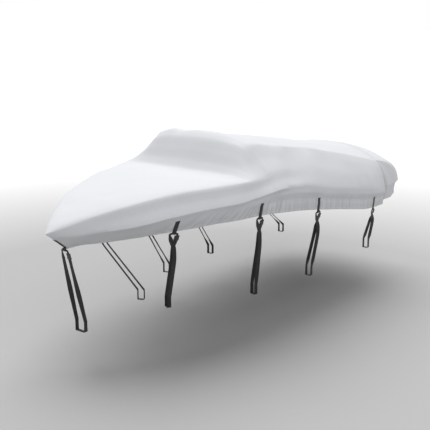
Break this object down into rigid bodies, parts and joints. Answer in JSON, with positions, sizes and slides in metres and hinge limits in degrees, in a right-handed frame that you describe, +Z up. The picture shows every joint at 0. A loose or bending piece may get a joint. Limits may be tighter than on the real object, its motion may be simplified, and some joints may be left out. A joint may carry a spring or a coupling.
{
  "type": "boat cover",
  "caption": "Fitted cloth cover for a runabout boat: pointed bow, raised windshield, rounded stern hood, and webbing straps with side-release buckles that draw down the hem.",
  "frame": {"origin": "under the top cloth, on the centreline, just aft of the windshield's top edge, where whatever holds the cover up touches it", "axes": "+X aft, towards the stern; +Y to starboard; +Z up"},
  "size_m": [5.5505, 2.1584, 1.8102],
  "materials": {
    "cover_cloth": "matt silver-grey coated polyester",
    "strap_webbing": "black woven webbing",
    "buckle_plastic": "dark grey moulded plastic"
  },
  "bodies": {
    "root": {"cover_main": "cover_cloth", "cover_hood": "cover_cloth", "tab_bow": "strap_webbing", "strap_bow": "strap_webbing", "buckle_bow": "buckle_plastic", "tab_port_1": "strap_webbing", "strap_port_1": "strap_webbing", "buckle_port_1": "buckle_plastic", "tab_port_2": "strap_webbing", "strap_port_2": "strap_webbing", "buckle_port_2": "buckle_plastic", "tab_port_3": "strap_webbing", "strap_port_3": "strap_webbing", "buckle_port_3": "buckle_plastic", "tab_port_4": "strap_webbing", "strap_port_4": "strap_webbing", "buckle_port_4": "buckle_plastic", "tab_starboard_1": "strap_webbing", "strap_starboard_1": "strap_webbing", "buckle_starboard_1": "buckle_plastic", "tab_starboard_2": "strap_webbing", "strap_starboard_2": "strap_webbing", "buckle_starboard_2": "buckle_plastic", "tab_starboard_3": "strap_webbing", "strap_starboard_3": "strap_webbing", "buckle_starboard_3": "buckle_plastic", "tab_starboard_4": "strap_webbing", "strap_starboard_4": "strap_webbing", "buckle_starboard_4": "buckle_plastic"}
  },
  "joints": []
}
